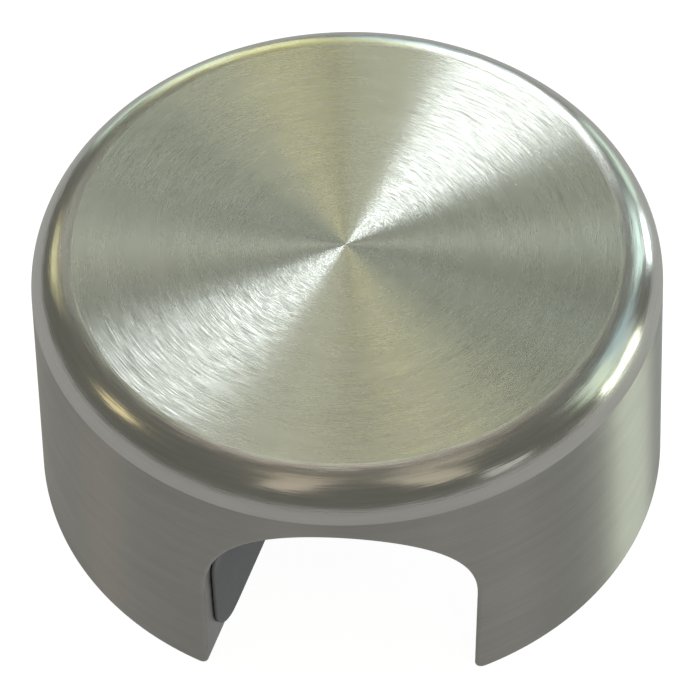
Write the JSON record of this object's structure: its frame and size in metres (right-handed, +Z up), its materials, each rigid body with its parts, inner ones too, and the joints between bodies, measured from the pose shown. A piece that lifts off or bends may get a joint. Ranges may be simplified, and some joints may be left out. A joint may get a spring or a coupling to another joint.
{
  "type": "slotted pipe cap",
  "caption": "Round stainless cap with a rounded shoulder and an off-centre full-round slot that holds a tube against a surface, with a lined seat and a side clamp screw.",
  "frame": {"origin": "centre of the base circle, on the surface that the cap stands on", "axes": "+Z up along the cap's axis, +Y along the tube slot, +X from the thick leg to the thin leg"},
  "size_m": [0.052, 0.0516, 0.0247],
  "materials": {
    "turned_steel": "satin, with fine circular turning marks on the top face",
    "liner_rubber": "matt dark grey",
    "screw_steel": "plain machined",
    "shoe_brass": "plain turned"
  },
  "bodies": {
    "root": {"cap_body": "turned_steel", "slot_liner": "liner_rubber"},
    "shoe": {"pressure_shoe": "shoe_brass"},
    "screw": {"clamp_screw": "screw_steel"}
  },
  "joints": [
    {"name": "shoe_travel", "type": "slide", "parent": "root", "child": "shoe", "axis": [1, 0, 0], "range_m": [0, 0.002]},
    {"name": "screw_turn", "type": "hinge", "parent": "shoe", "child": "screw", "pos_m": [-0.017, 0, 0.00955], "axis": [1, 0, 0], "range_deg": [0, 720]}
  ],
  "couplings": [
    {"joint": "screw_turn", "follows": "shoe_travel", "rad_per_m": 6283.2}
  ]
}
